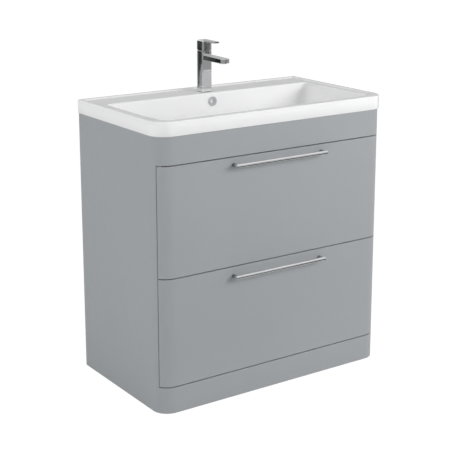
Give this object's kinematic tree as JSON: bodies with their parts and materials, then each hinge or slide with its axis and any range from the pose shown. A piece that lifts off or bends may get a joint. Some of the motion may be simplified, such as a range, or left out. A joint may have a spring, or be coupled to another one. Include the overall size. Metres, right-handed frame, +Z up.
{
  "type": "bathroom vanity cabinet",
  "caption": "Floor-standing bathroom vanity cabinet with rounded front corners, deep drawers with bar handles, a full-width ceramic basin and a single-lever mixer tap.",
  "frame": {"origin": "on the floor, under the centre of the whole unit including its handles", "axes": "+X to the right seen from the front, +Y towards the wall, +Z up"},
  "size_m": [0.808, 0.484, 1.001],
  "materials": {
    "cabinet_paint": "satin painted board",
    "carcass_board": "grey melamine-faced board",
    "beech": "sanded, unfinished",
    "nylon": "moulded",
    "slide_steel": "bright zinc plated",
    "chrome": "polished",
    "brass": "machined",
    "ceramic": "gloss white glaze",
    "rubber": "matte black"
  },
  "bodies": {
    "carcass": {"left_side_panel": "cabinet_paint", "right_side_panel": "cabinet_paint", "bottom_panel": "carcass_board", "top_fascia": "cabinet_paint", "fascia_rail": "carcass_board", "plinth_front": "cabinet_paint", "plinth_rear_rail": "carcass_board", "upper_back_rail": "carcass_board", "lower_back_rail": "carcass_board", "corner_blocks": "beech", "carcass_dowels": "beech", "floor_glides": "nylon", "upper_cabinet_slides": "slide_steel", "lower_cabinet_slides": "slide_steel", "basin": "ceramic", "overflow_ring": "chrome", "waste_body": "chrome", "waste_washer": "rubber", "waste_backnut": "chrome", "tap_body": "chrome", "tap_base_seal": "rubber", "tap_cartridge": "nylon", "cartridge_nut": "brass", "tap_aerator": "chrome", "tap_stud": "slide_steel", "tap_clamp_gasket": "rubber", "tap_clamp_washer": "slide_steel", "tap_stud_nut": "slide_steel"},
    "upper_drawer": {"upper_drawer_slides": "slide_steel", "upper_drawer_front": "cabinet_paint", "upper_drawer_left_side": "carcass_board", "upper_drawer_right_side": "carcass_board", "upper_drawer_back": "carcass_board", "upper_drawer_base": "carcass_board", "upper_trap_liner": "carcass_board", "upper_handle_bar": "chrome", "upper_handle_posts": "chrome", "upper_handle_screws": "slide_steel", "upper_front_buffers": "nylon"},
    "lower_drawer": {"lower_drawer_slides": "slide_steel", "lower_drawer_front": "cabinet_paint", "lower_drawer_left_side": "carcass_board", "lower_drawer_right_side": "carcass_board", "lower_drawer_back": "carcass_board", "lower_drawer_base": "carcass_board", "lower_handle_bar": "chrome", "lower_handle_posts": "chrome", "lower_handle_screws": "slide_steel", "lower_front_buffers": "nylon"},
    "upper_runners": {"upper_middle_slides": "slide_steel"},
    "lower_runners": {"lower_middle_slides": "slide_steel"},
    "tap_spindle": {"tap_spindle": "slide_steel"},
    "tap_lever": {"tap_handle": "chrome", "lever_pin": "slide_steel", "lever_grub_screw": "slide_steel"},
    "waste_plug": {"waste_plug": "chrome", "plug_seal": "rubber"}
  },
  "joints": [
    {"name": "upper_drawer_slide", "type": "slide", "parent": "carcass", "child": "upper_drawer", "axis": [0, -1, 0], "range_m": [0, 0.35]},
    {"name": "upper_runner_slide", "type": "slide", "parent": "carcass", "child": "upper_runners", "axis": [0, -1, 0], "range_m": [0, 0.175]},
    {"name": "lower_drawer_slide", "type": "slide", "parent": "carcass", "child": "lower_drawer", "axis": [0, -1, 0], "range_m": [0, 0.35]},
    {"name": "lower_runner_slide", "type": "slide", "parent": "carcass", "child": "lower_runners", "axis": [0, -1, 0], "range_m": [0, 0.175]},
    {"name": "tap_swivel", "type": "hinge", "parent": "carcass", "child": "tap_spindle", "pos_m": [0, 0.17, 0.968], "axis": [0, 0, 1], "range_deg": [-45, 45]},
    {"name": "lever_lift", "type": "hinge", "parent": "tap_spindle", "child": "tap_lever", "pos_m": [0, 0.178, 0.973], "axis": [-1, 0, 0], "range_deg": [0, 20]},
    {"name": "waste_plug_rise", "type": "slide", "parent": "carcass", "child": "waste_plug", "axis": [0, 0, 1], "range_m": [0, 0.009]}
  ],
  "couplings": [
    {"joint": "upper_runner_slide", "follows": "upper_drawer_slide", "ratio": 0.5},
    {"joint": "lower_runner_slide", "follows": "lower_drawer_slide", "ratio": 0.5}
  ]
}
